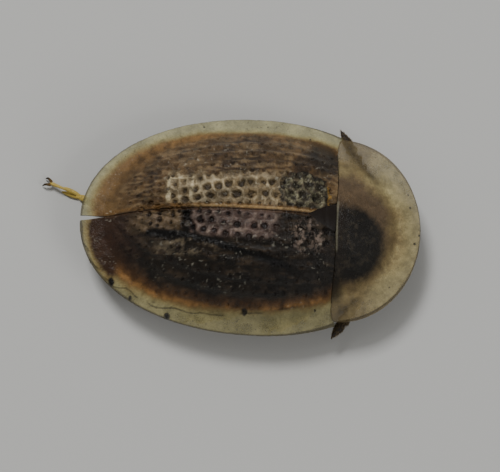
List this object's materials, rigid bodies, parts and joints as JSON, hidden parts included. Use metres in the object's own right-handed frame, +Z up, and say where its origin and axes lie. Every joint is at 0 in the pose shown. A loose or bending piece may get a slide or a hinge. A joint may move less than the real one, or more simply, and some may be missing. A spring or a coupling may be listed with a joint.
{
  "type": "tortoise beetle",
  "caption": "Life-size still model of a tortoise beetle: oval domed wing cases with pale see-through margins, legs drawn in under the shields, one hind foot trailing.",
  "frame": {"origin": "middle of the whole model's footprint, on the floor under the feet", "axes": "+X forward towards the head, +Y to the beetle's left, +Z up"},
  "size_m": [0.009, 0.0052, 0.003],
  "materials": {
    "wing_case_left": "satin chitin, brown with a pale honeycomb of ridges and a clear yellow-green margin",
    "wing_case_right": "satin chitin, nearly black, with tan pitted patches and a clear yellow-green margin",
    "pronotum_shell": "satin chitin, dark in the middle, with a clear pale margin",
    "dark_chitin": "satin, nearly black",
    "body_chitin": "dull dark brown chitin",
    "eye_black": "glossy, finely faceted",
    "leg_yellow": "satin yellow-brown chitin with short pale hairs",
    "feeler": "yellow-brown at the root, dark and downy in the club"
  },
  "bodies": {
    "root": {"elytron_left": "wing_case_left", "elytron_right": "wing_case_right", "pronotum": "pronotum_shell", "scutellum": "dark_chitin", "prothorax": "body_chitin", "thorax": "body_chitin", "abdomen": "body_chitin", "head": "body_chitin", "eye_left": "eye_black", "eye_right": "eye_black", "antenna_left": "feeler", "antenna_right": "feeler", "leg_front_left": "leg_yellow", "leg_front_right": "leg_yellow", "leg_middle_left": "leg_yellow", "leg_middle_right": "leg_yellow", "leg_hind_left": "leg_yellow", "leg_hind_right": "leg_yellow"}
  },
  "joints": []
}
